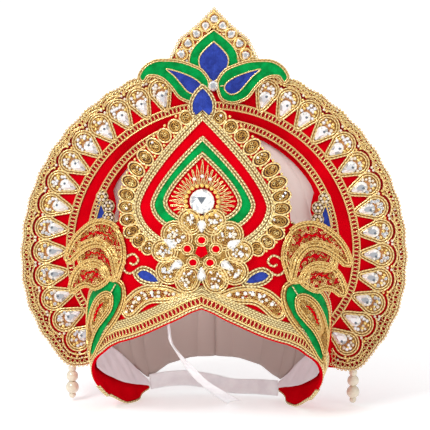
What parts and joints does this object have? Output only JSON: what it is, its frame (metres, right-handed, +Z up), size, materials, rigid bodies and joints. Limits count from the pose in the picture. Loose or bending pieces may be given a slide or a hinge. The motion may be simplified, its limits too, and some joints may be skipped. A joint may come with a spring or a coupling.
{
  "type": "mukut crown",
  "caption": "Ceremonial mukut crown: a bent, embroidered front with a spade over the brow, a jewelled upright halo behind it, a satin back, pearl drops and ribbons.",
  "frame": {"origin": "centre of the footprint on the floor that the crown stands on, without its loose ribbons", "axes": "+Z up, the wearer looks along -Y, +X to the right of someone who faces the crown"},
  "size_m": [0.2972, 0.1347, 0.303],
  "materials": {
    "red_cloth": "matte",
    "zari": "satin",
    "white_satin": "satin",
    "back_satin": "satin",
    "green_satin": "satin",
    "blue_satin": "satin",
    "crystal": "polished",
    "pearl": "gloss",
    "ribbon": "satin"
  },
  "bodies": {
    "root": {"front_plate": "red_cloth", "halo_board": "red_cloth", "lining": "white_satin", "back_panel": "back_satin", "halo_edging": "zari", "setting_row": "zari", "inner_braid": "zari", "spade_border": "zari", "sunburst": "zari", "flower": "zari", "band_braid": "zari", "band_crescent_right": "zari", "band_crescent_left": "zari", "wing_right": "zari", "wing_left": "zari", "stone_01_right": "crystal", "stone_01_left": "crystal", "stone_02_right": "crystal", "stone_02_left": "crystal", "stone_03_right": "crystal", "stone_03_left": "crystal", "stone_04_right": "crystal", "stone_04_left": "crystal", "stone_05_right": "crystal", "stone_05_left": "crystal", "stone_06_right": "crystal", "stone_06_left": "crystal", "stone_07_right": "crystal", "stone_07_left": "crystal", "stone_08_right": "crystal", "stone_08_left": "crystal", "stone_09_right": "crystal", "stone_09_left": "crystal", "stone_10_right": "crystal", "stone_10_left": "crystal", "stone_11_right": "crystal", "stone_11_left": "crystal", "stone_12_right": "crystal", "stone_12_left": "crystal", "stone_13_right": "crystal", "stone_13_left": "crystal", "stone_14_right": "crystal", "stone_14_left": "crystal", "lotus_stone": "crystal", "round_stone": "crystal", "lotus_arch": "green_satin", "lotus_leaf_right": "green_satin", "lotus_leaf_left": "green_satin", "spade_leaf": "green_satin", "paisley_right": "green_satin", "paisley_left": "green_satin", "lotus_petal": "blue_satin", "tip_leaf": "blue_satin", "blue_leaf_right": "blue_satin", "blue_leaf_left": "blue_satin", "drop_right": "pearl", "drop_left": "pearl", "back_strap": "ribbon", "tie_ribbon": "ribbon"}
  },
  "joints": []
}
